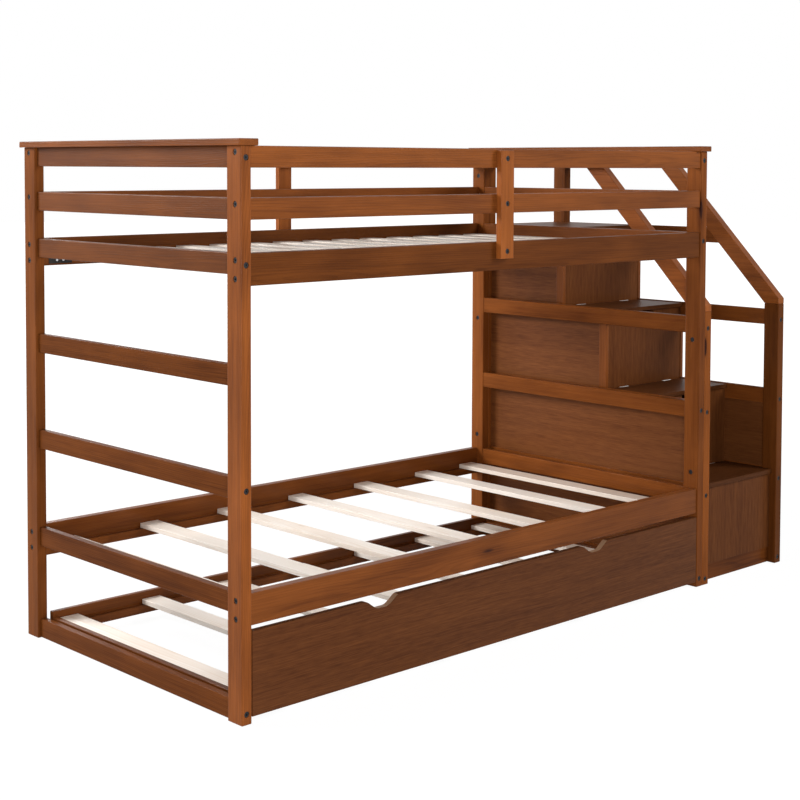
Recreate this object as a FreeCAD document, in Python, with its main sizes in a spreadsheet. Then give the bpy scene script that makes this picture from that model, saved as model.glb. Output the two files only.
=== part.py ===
"""Low twin bunk bed with a pull-out trundle and a storage staircase across its right-hand end.

Frame of the model: millimetres, +Z up, +X from the ladder end to the stair end, the open long
side faces -Y. The origin is on the floor, under the middle of the whole footprint.
"""
import FreeCAD, Part
import Sketcher
import collections
import math
import os
import re

doc = FreeCAD.newDocument("bunk_bed_with_storage_stairs")
sheet = doc.addObject("Spreadsheet::Sheet", "Sizes")

# Driving dimensions: alias, value in millimetres (or a plain count or ratio), meaning.
SIZES = [
    # bed frame
    ("bed_length", 1970, "outer faces of the end posts, a 1905 mattress plus frame"),
    ("bed_width", 1070, "outer faces of the posts, front to back"),
    ("post_thick", 32, "bed post along the bed"),
    ("post_wide", 60, "bed post across the bed"),
    ("post_height", 1482, "bed posts and the tall stair posts"),
    ("cap_thick", 18, "board that caps each end"),
    ("cap_out", 12, "cap overhang beyond the end of the bed"),
    ("cap_in", 18, "cap overhang towards the mattress"),
    ("cap_over", 8.5, "cap overhang at front and back"),
    ("rail_thick", 22, "end rails"),
    ("rail_height", 56, "end rails and guard rails"),
    ("end_recess", 8.5, "end rails behind the posts' end faces"),
    ("side_thick", 28, "side rails and guard rails"),
    ("side_height", 84, "side rails that carry the slats"),
    ("side_recess", 4.5, "side rails behind the posts' front and back faces"),
    ("edge_round", 2.5, "eased edges of posts and rails"),
    ("thin_round", 1.5, "eased edges of treads, slats and panels"),
    # heights of the tops of the rails
    ("floor_rail_top", 58, "end rail at the floor"),
    ("lower_top", 338, "rails of the lower bunk"),
    ("ladder_low_top", 634, "lower ladder rail of each end"),
    ("ladder_high_top", 924, "upper ladder rail of each end"),
    ("guard_gap_high", 76, "between the two guard rails"),
    ("guard_gap_low", 84, "between the lower guard rail and the rails of the upper bunk"),
    # guard stays
    ("stay_wide", 55, "short upright that joins the guard rails to the side rail"),
    ("stay_thick", 21, "the same, front to back"),
    ("stay_below", 50, "lower end of the stays below the tops of the upper bunk's rails"),
    ("stay_drop", 4, "upper end of the stays below the top guard rail's upper edge"),
    ("stay_from_end", 965, "middle of a stay from the end on its own left hand"),
    # slats and the cleats under them
    ("slat_wide", 66, "slat along the bed"),
    ("slat_thick", 15, "slat"),
    ("upper_slat_drop", 39, "upper slats' tops below the tops of their rails"),
    ("lower_slat_drop", 51, "lower slats' tops below the tops of their rails"),
    ("slat_play", 2, "gap at each end of a slat"),
    ("cleat_wide", 20, "cleat that carries slat ends"),
    ("cleat_high", 25, "cleat"),
    ("upper_slat_first", 130, "first upper slat from the bed's end"),
    ("upper_slat_last", 52.8, "last upper slat from the bed's other end"),
    ("upper_slat_count", 14, "upper slats"),
    ("lower_slat_first", 81, "first lower slat from the bed's end"),
    ("lower_slat_last", 67, "last lower slat from the bed's other end"),
    ("lower_slat_spans", 5.776, "lower pitches from the first slat to the last, the last one cut short"),
    ("lower_slat_count", 7, "lower slats"),
    # trundle
    ("trundle_play", 3, "gap between the trundle and the posts at each end"),
    ("trundle_set_back", 1, "trundle front behind the posts' front faces"),
    ("trundle_back_gap", 69, "trundle's back in front of the posts' back faces"),
    ("panel_bottom", 18, "lower edge of the trundle front"),
    ("panel_top", 240.5, "upper edge of the trundle front"),
    ("panel_thick", 18, "trundle front and trundle frame boards"),
    ("trundle_back_top", 80, "trundle back rail"),
    ("trundle_end_bottom", 10, "trundle end rails"),
    ("trundle_end_top", 62, "trundle end rails"),
    ("trundle_slat_top", 58, "tops of the trundle slats"),
    ("trundle_slat_gap", 3, "outer trundle slats from the trundle's end rails"),
    ("trundle_slat_count", 7, "trundle slats"),
    ("pull_wide", 116, "finger cut-out in the trundle front, at the edge"),
    ("pull_flat", 44, "flat bottom of the finger cut-out"),
    ("pull_deep", 26, "finger cut-out"),
    ("pull_round", 34, "rounded inner corners of the finger cut-out"),
    ("pull_lip_round", 26, "rounded outer corners of the finger cut-out"),
    ("pull_left", 487, "middle of the left finger cut-out from the bed's end"),
    ("pull_right", 570, "middle of the right finger cut-out from the bed's other end"),
    # trundle wheels
    ("wheel_radius", 20, "trundle wheel"),
    ("wheel_wide", 18, "trundle wheel"),
    ("wheel_inset", 78, "wheel axle from the back of the trundle front, and from the back rail"),
    ("axle_radius", 4, "wheel axle"),
    ("axle_play", 0.06, "radial running clearance of wheels"),
    ("bracket_thick", 2, "steel plate that holds the wheel axle"),
    ("bracket_wide", 46, "the same"),
    ("bracket_high", 34, "the same"),
    ("bracket_up", 1, "plate above the lower edge of the end rail"),
    ("wheel_side_play", 1, "wheel between the bracket and the axle's head"),
    ("axle_head_radius", 7, "head of the wheel axle"),
    ("axle_head_thick", 2.5, "head of the wheel axle"),
    # stairs
    ("stair_width", 476, "stairs beyond the bed's right-hand end"),
    ("stair_post_thick", 35, "stair post along the bed"),
    ("stair_post_wide", 60, "stair post across the bed"),
    ("stair_post_top", 940, "tops of the two short front posts of the stairs"),
    ("step_rise", 287, "one step"),
    ("stair_rail_height", 56, "side rails of the stairs"),
    ("stair_floor_top", 57, "top of the lowest side rail of the stairs"),
    ("stair_side_thick", 15, "side rails and stiles of the stairs"),
    ("stair_recess", 8, "side rails behind the outer faces of the stair posts"),
    ("stair_panel_thick", 9, "panels between the stair rails"),
    ("stile_wide", 33, "upright at the front edge of a side panel"),
    ("tread_thick", 15, "treads and the platform"),
    ("tread_front", 18, "front edge of the first tread behind the posts' front faces"),
    ("going", 206, "depth of one step"),
    ("nosing", 6, "tread in front of the stiles"),
    ("riser_recess", 3, "risers behind the fronts of the stiles"),
    ("riser_thick", 15, "risers"),
    ("lid_drop", 3, "treads below the tops of the side rails"),
    ("lid_play", 1.5, "gap at each side of a tread that opens"),
    ("notch_wide", 96, "finger notch in the top edge of a riser"),
    ("notch_deep", 18, "finger notch"),
    ("floor_thick", 12, "floors of the storage boxes"),
    ("kick_recess", 4, "front floor rail behind the first riser"),
    ("back_panel_thick", 9, "panel behind the stairs"),
    ("handrail_wide", 57, "handrail, square to its slope"),
    ("handrail_slope", 1.035, "rise of the handrails over their run"),
    # lid hinges
    ("hinge_long", 50, "lid hinge along its pin"),
    ("hinge_spacing", 254, "between the two hinges of a lid"),
    ("knuckle_radius", 3.2, "hinge knuckle"),
    ("knuckle_play", 0.3, "between hinge parts that pass each other"),
    ("knuckle_long", 19.4, "middle knuckle"),
    ("knuckle_proud", 1.2, "knuckles above the tread"),
    ("leaf_thick", 1.2, "hinge leaf"),
    ("leaf_high", 12.5, "hinge leaf below the pin"),
    ("pin_radius", 1.5, "hinge pin"),
    ("pin_play", 0.05, "radial running clearance of the hinge pin"),
    # bolts and dowels
    ("head_radius", 7.3, "bolt head"),
    ("head_high", 3.5, "bolt head"),
    ("head_depth", 5, "counterbore"),
    ("head_play", 1.1, "round a bolt head in its counterbore"),
    ("socket_radius", 3.4, "corner radius of the hexagon socket"),
    ("socket_deep", 2.2, "hexagon socket"),
    ("bolt_radius", 3, "bolt shank"),
    ("bolt_play", 0.2, "round a bolt shank"),
    ("bolt_bite", 34, "bolt in the end of a rail"),
    ("link_bite", 21, "bolt in a stair post behind a bed post"),
    ("stay_bolt_bite", 20, "bolt in a rail behind a stay"),
    ("side_bolt_spread", 24, "the two bolts of a side rail, each from the rail's middle"),
    ("guard_bolt_rise", 12, "single bolt of a guard rail above the rail's middle"),
    ("end_bolt_drop", 2, "bolt of an end rail below the rail's middle"),
    ("side_bolt_inset", 26, "side bolts behind the posts' front and back faces"),
    ("stair_bolt_drop", 8, "bolts of the stair rails below the rails' middle"),
    ("link_bolt_low", 392, "bolts that join the stairs to the bed, above the floor"),
    ("link_bolt_high", 845, "the same"),
    ("link_bolt_drop", 89, "upper link bolt of the back posts below their tops"),
    ("dowel_radius", 4, "wood dowel"),
    ("dowel_play", 0.1, "round a dowel"),
    ("dowel_half", 24, "dowel on each side of its joint"),
    ("dowel_spread", 14, "the two dowels of a joint, each from the rail's middle"),
    ("cut_past", 1, "cutting tools run past the faces that they open"),
]
for row, (alias, value, meaning) in enumerate(SIZES, 1):
    sheet.set(f"A{row}", meaning)
    sheet.set(f"B{row}", str(value))
    sheet.setAlias(f"B{row}", alias)
doc.recompute()
VALUE = {alias: float(sheet.get(alias)) for alias, _, _ in SIZES}

# Places that several pieces share, as expressions on the sheet's aliases.
LEFT = "(-(bed_length + stair_width - cap_out) / 2)"
FRONT = "(-bed_width / 2)"
BACK = "(bed_width / 2)"
RIGHT = f"({LEFT} + bed_length)"
STAIR_END = f"({RIGHT} + stair_width)"
BED_IN_LEFT = f"({LEFT} + post_thick)"
BED_IN_RIGHT = f"({RIGHT} - post_thick)"
INNER_RAIL = f"({RIGHT} + stair_recess)"
OUTER_RAIL = f"({STAIR_END} - stair_recess - stair_side_thick)"
BOX_LEFT = f"({INNER_RAIL} + stair_side_thick)"
BOX_RIGHT = OUTER_RAIL
STAIR_MIDDLE = f"({RIGHT} + stair_width / 2)"
HINGE_REACH = "(knuckle_radius + knuckle_play)"
GUARD_LOW_TOP = "(post_height - rail_height - guard_gap_high)"
UPPER_TOP = f"({GUARD_LOW_TOP} - rail_height - guard_gap_low)"


def cells(text):
    """The text with every alias of the sheet written as a reference to its cell."""
    def reference(match):
        word = match.group(0)
        return f"Sizes.{word}" if word in VALUE else word
    return re.sub(r"[a-z_]+", reference, text)


def bind(thing, **properties):
    """Binds properties of an object to expressions on the sheet."""
    for name, text in properties.items():
        thing.setExpression(name, cells(str(text)))


def seat(thing, x, y, z):
    """Binds an object's place to expressions on the sheet."""
    for axis, text in zip("xyz", (x, y, z)):
        thing.setExpression(f"Placement.Base.{axis}", cells(str(text)))


NEAR = 0.01
TURNS = {
    "+X": FreeCAD.Rotation(FreeCAD.Vector(0, 1, 0), 90),
    "-X": FreeCAD.Rotation(FreeCAD.Vector(0, 1, 0), -90),
    "+Y": FreeCAD.Rotation(FreeCAD.Vector(1, 0, 0), -90),
    "-Y": FreeCAD.Rotation(FreeCAD.Vector(1, 0, 0), 90),
    "+Z": FreeCAD.Rotation(),
}
finished = []
holes = collections.defaultdict(list)
fasteners = {"bolt": [], "dowel": []}


def rod(name, radius, length, x, y, z, heading="+Z"):
    """A round rod whose axis starts at the given place and runs along the heading."""
    cylinder = doc.addObject("Part::Cylinder", name)
    bind(cylinder, Radius=radius, Height=length)
    cylinder.Placement = FreeCAD.Placement(FreeCAD.Vector(), TURNS[heading])
    seat(cylinder, x, y, z)
    return cylinder


def block(name, x, y, z, dx, dy, dz):
    """A plain box between expressions."""
    box = doc.addObject("Part::Box", name)
    bind(box, Length=dx, Width=dy, Height=dz)
    seat(box, x, y, z)
    return box


def joined(name, pieces):
    """Pieces fused to one solid."""
    fuse = doc.addObject("Part::MultiFuse", name)
    fuse.Shapes = pieces
    return fuse


def cut(name, base, tool):
    """The base less the tool."""
    result = doc.addObject("Part::Cut", name)
    result.Base = base
    result.Tool = tool
    return result


def group(name, pieces):
    """Separate solids that share one node."""
    compound = doc.addObject("Part::Compound", name)
    compound.Links = pieces
    return compound


def keep(label, thing):
    """Marks an object as a finished piece of the bed and gives it its name."""
    thing.Label = label
    finished.append(thing)
    return thing


def eased(name, solid, radius, choose=None):
    """Rounds the chosen edges of a solid by a size of the sheet, or all of them."""
    doc.recompute()
    edges = [index for index, edge in enumerate(solid.Shape.Edges, 1) if choose is None or choose(edge)]
    fillet = doc.addObject("Part::Fillet", name)
    fillet.Base = solid
    fillet.Edges = [(index, VALUE[radius], VALUE[radius]) for index in edges]
    return fillet


def drilled(name, solid):
    """Cuts the holes that were noted for a piece."""
    if not holes[name]:
        return solid
    return cut(f"{name}_drilled", solid, group(f"{name}_holes", holes[name]))


def board(name, x, y, z, dx, dy, dz, radius="edge_round", choose=None):
    """A sawn board with eased edges and its own holes."""
    blank = block(f"{name}_blank", x, y, z, dx, dy, dz)
    return drilled(name, eased(f"{name}_eased", blank, radius, choose))


def outline_pad(name, plane, corners, depth, backwards=False):
    """A body padded from a closed outline whose corners are bound to the sheet."""
    body = doc.addObject("PartDesign::Body", name)
    sketch = body.newObject("Sketcher::SketchObject", f"{name}_outline")
    origin_plane = next(item for item in body.Origin.OriginFeatures if item.Role == plane)
    sketch.AttachmentSupport = [(origin_plane, "")]
    sketch.MapMode = "FlatFace"
    points = [FreeCAD.Vector(index, index % 2, 0) for index in range(len(corners))]
    for start, end in zip(points, points[1:] + points[:1]):
        sketch.addGeometry(Part.LineSegment(start, end), False)
    for index in range(len(points)):
        sketch.addConstraint(Sketcher.Constraint("Coincident", index, 2, (index + 1) % len(points), 1))
    for index, (u, v) in enumerate(corners):
        for kind, text, value in (("DistanceX", u, points[index].x), ("DistanceY", v, points[index].y)):
            place = sketch.addConstraint(Sketcher.Constraint(kind, -1, 1, index, 1, value))
            sketch.setExpression(f"Constraints[{place}]", cells(text))
    pad = body.newObject("PartDesign::Pad", f"{name}_pad")
    pad.Profile = sketch
    pad.Reversed = backwards
    bind(pad, Length=depth)
    body.Tip = pad
    return body


def rounded_body(body, radius, choose):
    """Adds a fillet to a body on the chosen edges of its last feature."""
    doc.recompute()
    base = body.Tip
    names = [f"Edge{index}" for index, edge in enumerate(base.Shape.Edges, 1) if choose(edge)]
    fillet = body.newObject("PartDesign::Fillet", f"{base.Name}_{radius}")
    fillet.Base = (base, names)
    bind(fillet, Radius=radius)
    body.Tip = fillet
    doc.recompute()
    return body


def straight_along(edge, axis):
    """Whether an edge is a straight line along an axis."""
    if edge.Curve.TypeId != "Part::GeomLine":
        return False
    return abs(abs(edge.Curve.Direction.dot(axis)) - 1) < 1e-6


# ---------------------------------------------------------------- bolts and dowels


def bolt_master(kind, length):
    """A socket bolt and its hole, both heading +Z from the face that the bolt enters."""
    head = rod(f"{kind}_head", "head_radius", "head_high", "0", "0", "head_depth - head_high")
    shank = rod(f"{kind}_shank", "bolt_radius", f"{length}", "0", "0", "head_depth")
    socket = doc.addObject("Part::Prism", f"{kind}_socket")
    socket.Polygon = 6
    bind(socket, Circumradius="socket_radius", Height="socket_deep")
    seat(socket, "0", "0", "head_depth - head_high")
    bolt = cut(f"{kind}_bolt", joined(f"{kind}_blank", [head, shank]), socket)
    sink = rod(f"{kind}_sink", "head_radius + head_play", "head_depth", "0", "0", "0")
    bore = rod(f"{kind}_bore", "bolt_radius + bolt_play", f"{length} + head_depth + cut_past", "0", "0", "0")
    return bolt, joined(f"{kind}_hole", [sink, bore])


def dowel_master():
    """A wood dowel and its hole, centred on the joint and running along +Z."""
    dowel = rod("dowel_pin", "dowel_radius", "2 * dowel_half", "0", "0", "-dowel_half")
    hole = rod("dowel_hole", "dowel_radius + dowel_play", "2 * (dowel_half + cut_past)", "0", "0",
               "-dowel_half - cut_past")
    return group("dowel", [dowel]), group("dowel_bore", [hole])


MASTERS = {
    "side": bolt_master("side", "(post_thick - head_depth + bolt_bite)"),
    "end": bolt_master("end", "(post_wide - head_depth + bolt_bite)"),
    "stay": bolt_master("stay", "(stay_thick - head_depth + stay_bolt_bite)"),
    "link": bolt_master("link", "(post_thick - head_depth + link_bite)"),
    "stair": bolt_master("stair", "(stair_post_wide - head_depth + bolt_bite)"),
    "dowel": dowel_master(),
}


def copy_of(master, name, heading, x, y, z):
    """A placed copy of a master shape."""
    link = doc.addObject("App::Link", name)
    link.LinkedObject = master
    link.Placement = FreeCAD.Placement(FreeCAD.Vector(), TURNS[heading])
    seat(link, x, y, z)
    return link


def fasten(kind, heading, x, y, z, pieces):
    """Sets a bolt or dowel and notes its hole in each piece that it passes through."""
    rank = sum(len(items) for items in fasteners.values()) + 1
    fastener, hole = MASTERS[kind]
    family = "dowel" if kind == "dowel" else "bolt"
    fasteners[family].append(copy_of(fastener, f"{kind}_fastener_{rank}", heading, x, y, z))
    clearance = copy_of(hole, f"{kind}_clearance_{rank}", heading, x, y, z)
    for piece in pieces:
        holes[piece].append(clearance)


# Rails of each end by name: top, and whether bolts or dowels hold them.
END_RAILS = {
    "floor": ("floor_rail_top", "bolt"),
    "lower": ("lower_top", "dowel"),
    "ladder_low": ("ladder_low_top", "bolt"),
    "ladder_high": ("ladder_high_top", "dowel"),
    "upper": (UPPER_TOP, "bolt"),
    "guard_low": (GUARD_LOW_TOP, "dowel"),
    "guard_top": ("post_height", "bolt"),
}
# Rails of each long side by name: top, height and the bolts' places from the rail's middle.
SIDE_RAILS = {
    "lower_side": ("lower_top", "side_height", ("-side_bolt_spread", "side_bolt_spread")),
    "upper_side": (UPPER_TOP, "side_height", ("-side_bolt_spread", "side_bolt_spread")),
    "guard_low": (GUARD_LOW_TOP, "rail_height", ("guard_bolt_rise",)),
    "guard_top": ("post_height", "rail_height", ("guard_bolt_rise",)),
}
SIDES = {
    # side: place of the rail, of its bolts, of the cleat, heading into the bed
    "front": (f"{FRONT} + side_recess", f"{FRONT} + side_bolt_inset", "+Y"),
    "back": (f"{BACK} - side_recess - side_thick", f"{BACK} - side_bolt_inset", "-Y"),
}
ENDS = {
    "left": (f"{LEFT}", f"{LEFT} + end_recess", "+X"),
    "right": (f"{BED_IN_RIGHT}", f"{RIGHT} - end_recess - rail_thick", "-X"),
}
POST_Y = {"front": FRONT, "back": f"({BACK} - post_wide)"}
FACE_Y = {"front": FRONT, "back": BACK}
FACE_X = {"left": LEFT, "right": RIGHT}

for end in ENDS:
    post_middle = f"({ENDS[end][0]} + post_thick / 2)"
    rail_middle = f"({ENDS[end][1]} + rail_thick / 2)"
    for side in SIDES:
        post = f"{side}_{end}_post"
        for name, (top, height, places) in SIDE_RAILS.items():
            for place in places:
                fasten("side", ENDS[end][2], FACE_X[end], SIDES[side][1], f"{top} - {height} / 2 + {place}",
                       (post, f"{side}_{name}_rail"))
        for name, (top, hold) in END_RAILS.items():
            pieces = (post, f"{end}_{name}_end_rail")
            if hold == "bolt":
                fasten("end", SIDES[side][2], post_middle, FACE_Y[side],
                       f"{top} - rail_height / 2 - end_bolt_drop", pieces)
                continue
            joint = {"front": f"{FRONT} + post_wide", "back": f"{BACK} - post_wide"}[side]
            for place in ("-dowel_spread", "dowel_spread"):
                fasten("dowel", "+Y", rail_middle, joint, f"{top} - rail_height / 2 + {place}", pieces)

STAY_X = {"front": f"({LEFT} + stay_from_end)", "back": f"({RIGHT} - stay_from_end)"}
STAY_Y = {"front": f"({FRONT} + side_recess - stay_thick)", "back": f"({BACK} - side_recess)"}
STAY_FACE = {"front": STAY_Y["front"], "back": f"({BACK} - side_recess + stay_thick)"}
for side in SIDES:
    for name in ("upper_side", "guard_low", "guard_top"):
        top = SIDE_RAILS[name][0]
        fasten("stay", SIDES[side][2], STAY_X[side], STAY_FACE[side], f"{top} - rail_height / 2",
               (f"{side}_guard_stay", f"{side}_{name}_rail"))

# Side rails of the stairs, counted from the floor: tops one step apart.
STAIR_LEVELS = range(5)
STAIR_SIDES = {
    # side of the stairs: posts' near face, rails' near face, middle of the posts
    "inner": (RIGHT, INNER_RAIL, f"({RIGHT} + stair_post_thick / 2)"),
    "outer": (f"({STAIR_END} - stair_post_thick)", OUTER_RAIL, f"({STAIR_END} - stair_post_thick / 2)"),
}


def level_top(level):
    """Top of the stairs' side rails at a level, 0 at the floor."""
    return f"(stair_floor_top + {level} * step_rise)"


for side, (post_x, rail_x, middle) in STAIR_SIDES.items():
    for level in STAIR_LEVELS:
        height = f"{level_top(level)} - stair_rail_height / 2 - stair_bolt_drop"
        rail = f"{side}_stair_rail_{level}"
        if level < 4:
            fasten("stair", "+Y", middle, FRONT, height, (f"stair_front_{side}_post", rail))
        fasten("stair", "-Y", middle, BACK, height, (f"stair_back_{side}_post", rail))
    fasten("stair", "-Y", middle, BACK, "post_height - rail_height / 2",
           (f"stair_back_{side}_post", f"{side}_top_rail"))
for side, place in (("front", f"{FRONT} + post_wide / 2"), ("back", f"{BACK} - post_wide / 2")):
    heights = ["link_bolt_low", "link_bolt_high"]
    if side == "back":
        heights.append("post_height - link_bolt_drop")
    for height in heights:
        fasten("link", "+X", BED_IN_RIGHT, place, height, (f"{side}_right_post", f"stair_{side}_inner_post"))

# ---------------------------------------------------------------- bed frame

for end in ENDS:
    for side in SIDES:
        name = f"{side}_{end}_post"
        post = board(name, ENDS[end][0], POST_Y[side], "0", "post_thick", "post_wide", "post_height")
        keep(name, post)

CAP_X = {"left": f"({LEFT} - cap_out)", "right": f"({BED_IN_RIGHT} - cap_in)"}
for end in ENDS:
    cap = board(f"{end}_end_cap", CAP_X[end], f"{FRONT} - cap_over", "post_height",
                "cap_out + post_thick + cap_in", "bed_width + 2 * cap_over", "cap_thick")
    keep(f"{end}_end_cap", cap)

END_GROUPS = {
    "guard_end_rails": ("guard_low", "guard_top"),
    "upper_end_rail": ("upper",),
    "ladder_rails": ("ladder_low", "ladder_high"),
    "lower_end_rails": ("floor", "lower"),
}
for end in ENDS:
    for label, names in END_GROUPS.items():
        rails = []
        for name in names:
            bottom = f"{END_RAILS[name][0]} - rail_height"
            rails.append(board(f"{end}_{name}_end_rail", ENDS[end][1], f"{FRONT} + post_wide", bottom,
                               "rail_thick", "bed_width - 2 * post_wide", "rail_height"))
        keep(f"{end}_{label}", rails[0] if len(rails) == 1 else group(f"{end}_{label}", rails))


def side_rail(side, name):
    """A rail along one long side of the bed, between the posts."""
    top, height, _ = SIDE_RAILS[name]
    return board(f"{side}_{name}_rail", BED_IN_LEFT, SIDES[side][0], f"{top} - {height}",
                 "bed_length - 2 * post_thick", "side_thick", height)


for side in SIDES:
    for name in ("upper_side", "lower_side"):
        keep(f"{side}_{name}_rail", side_rail(side, name))
    keep(f"{side}_guard_rails", group(f"{side}_guard_rails", [side_rail(side, "guard_low"),
                                                               side_rail(side, "guard_top")]))

STAY_BOTTOM = f"({UPPER_TOP} - stay_below)"
stays = [board(f"{side}_guard_stay", f"{STAY_X[side]} - stay_wide / 2", STAY_Y[side], STAY_BOTTOM,
               "stay_wide", "stay_thick", f"post_height - stay_drop - {STAY_BOTTOM}") for side in SIDES]
keep("guard_stays", group("guard_stays", stays))

# ---------------------------------------------------------------- slats and cleats

CLEAT_Y = {
    "front": f"({FRONT} + side_recess + side_thick)",
    "back": f"({BACK} - side_recess - side_thick - cleat_wide)",
}
SLAT_BOTTOM = {"upper": f"({UPPER_TOP} - upper_slat_drop - slat_thick)",
               "lower": "(lower_top - lower_slat_drop - slat_thick)"}
cleats = []
for level in SLAT_BOTTOM:
    for side in SIDES:
        cleats.append(block(f"{side}_{level}_cleat", BED_IN_LEFT, CLEAT_Y[side],
                            f"{SLAT_BOTTOM[level]} - cleat_high",
                            "bed_length - 2 * post_thick", "cleat_wide", "cleat_high"))
keep("slat_cleats", group("slat_cleats", cleats))


def slats(label, lefts, y, z, length):
    """A row of slats across the bed at the given places along it."""
    row = [board(f"{label}_{index}", left, y, z, "slat_wide", length, "slat_thick", "thin_round",
                 lambda edge: straight_along(edge, FreeCAD.Vector(0, 1, 0)))
           for index, left in enumerate(lefts, 1)]
    return keep(label, group(label, row))


SLAT_Y = f"{FRONT} + side_recess + side_thick + slat_play"
SLAT_LONG = "bed_width - 2 * (side_recess + side_thick + slat_play)"
UPPER_RUN = "(bed_length - upper_slat_first - upper_slat_last - slat_wide)"
LOWER_RUN = "(bed_length - lower_slat_first - lower_slat_last - slat_wide)"
upper_places = [f"{LEFT} + upper_slat_first + {index} * {UPPER_RUN} / (upper_slat_count - 1)"
                for index in range(int(VALUE["upper_slat_count"]))]
lower_places = [f"{LEFT} + lower_slat_first + min({index} * {LOWER_RUN} / lower_slat_spans; {LOWER_RUN})"
                for index in range(int(VALUE["lower_slat_count"]))]
slats("upper_slats", upper_places, SLAT_Y, SLAT_BOTTOM["upper"], SLAT_LONG)
slats("lower_slats", lower_places, SLAT_Y, SLAT_BOTTOM["lower"], SLAT_LONG)

# ---------------------------------------------------------------- trundle

TRUNDLE_LEFT = f"({BED_IN_LEFT} + trundle_play)"
TRUNDLE_RIGHT = f"({BED_IN_RIGHT} - trundle_play)"
TRUNDLE_LONG = "(bed_length - 2 * post_thick - 2 * trundle_play)"
TRUNDLE_FRONT = f"({FRONT} + trundle_set_back)"
FRAME_FRONT = f"({TRUNDLE_FRONT} + panel_thick)"
FRAME_BACK = f"({BACK} - trundle_back_gap)"
BACK_RAIL_Y = f"({FRAME_BACK} - panel_thick)"


def notch_corners(middle, top):
    """Corners of a tapered finger cut-out in an upper edge, from left to right."""
    return [(f"{middle} - pull_wide / 2", top), (f"{middle} - pull_flat / 2", f"{top} - pull_deep"),
            (f"{middle} + pull_flat / 2", f"{top} - pull_deep"), (f"{middle} + pull_wide / 2", top)]


TRUNDLE_TALL = "(panel_top - panel_bottom)"
front_corners = [("0", "0"), ("0", TRUNDLE_TALL)]
for place in ("pull_left", "(bed_length - pull_right)"):
    front_corners += notch_corners(f"({place} - post_thick - trundle_play)", TRUNDLE_TALL)
front_corners += [(TRUNDLE_LONG, TRUNDLE_TALL), (TRUNDLE_LONG, "0")]
front_panel = outline_pad("trundle_front", "XZ_Plane", front_corners, "panel_thick", backwards=True)
seat(front_panel, TRUNDLE_LEFT, TRUNDLE_FRONT, "panel_bottom")


def pull_edges(below_top):
    """Chooses the edges through the panel at a cut-out, so far below the panel's upper edge."""
    def choose(edge):
        box = front_panel.Tip.Shape.BoundBox
        middle = edge.CenterOfMass
        inside = box.XMin + NEAR < middle.x < box.XMax - NEAR
        return straight_along(edge, FreeCAD.Vector(0, 1, 0)) and inside and \
            abs(box.ZMax - below_top - middle.z) < NEAR
    return choose


rounded_body(front_panel, "pull_round", pull_edges(VALUE["pull_deep"]))
rounded_body(front_panel, "pull_lip_round", pull_edges(0))
keep("trundle_front_panel", front_panel)

keep("trundle_back_rail", board("trundle_back", TRUNDLE_LEFT, BACK_RAIL_Y, "panel_bottom", TRUNDLE_LONG,
                                "panel_thick", "trundle_back_top - panel_bottom"))
TRUNDLE_IN_DEEP = f"({FRAME_BACK} - {TRUNDLE_FRONT} - 2 * panel_thick)"
TRUNDLE_ENDS = {"left": TRUNDLE_LEFT, "right": f"({TRUNDLE_RIGHT} - panel_thick)"}
end_boards = [board(f"trundle_{end}_end", place, FRAME_FRONT, "trundle_end_bottom", "panel_thick",
                    TRUNDLE_IN_DEEP, "trundle_end_top - trundle_end_bottom")
              for end, place in TRUNDLE_ENDS.items()]
keep("trundle_end_rails", group("trundle_end_rails", end_boards))

TRUNDLE_IN_LONG = f"({TRUNDLE_LONG} - 2 * panel_thick)"
TRUNDLE_CLEAT_BOTTOM = "trundle_slat_top - slat_thick - cleat_high"
trundle_cleats = [block(f"trundle_{side}_cleat", f"{TRUNDLE_LEFT} + panel_thick", place, TRUNDLE_CLEAT_BOTTOM,
                        TRUNDLE_IN_LONG, "cleat_wide", "cleat_high")
                  for side, place in (("front", FRAME_FRONT), ("back", f"({BACK_RAIL_Y} - cleat_wide)"))]
keep("trundle_slat_cleats", group("trundle_slat_cleats", trundle_cleats))
TRUNDLE_RUN = f"({TRUNDLE_IN_LONG} - 2 * trundle_slat_gap - slat_wide)"
trundle_places = [f"{TRUNDLE_LEFT} + panel_thick + trundle_slat_gap"
                  f" + {index} * {TRUNDLE_RUN} / (trundle_slat_count - 1)"
                  for index in range(int(VALUE["trundle_slat_count"]))]
slats("trundle_slats", trundle_places, f"{FRAME_FRONT} + slat_play", "trundle_slat_top - slat_thick",
      f"{TRUNDLE_IN_DEEP} - 2 * slat_play")

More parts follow.
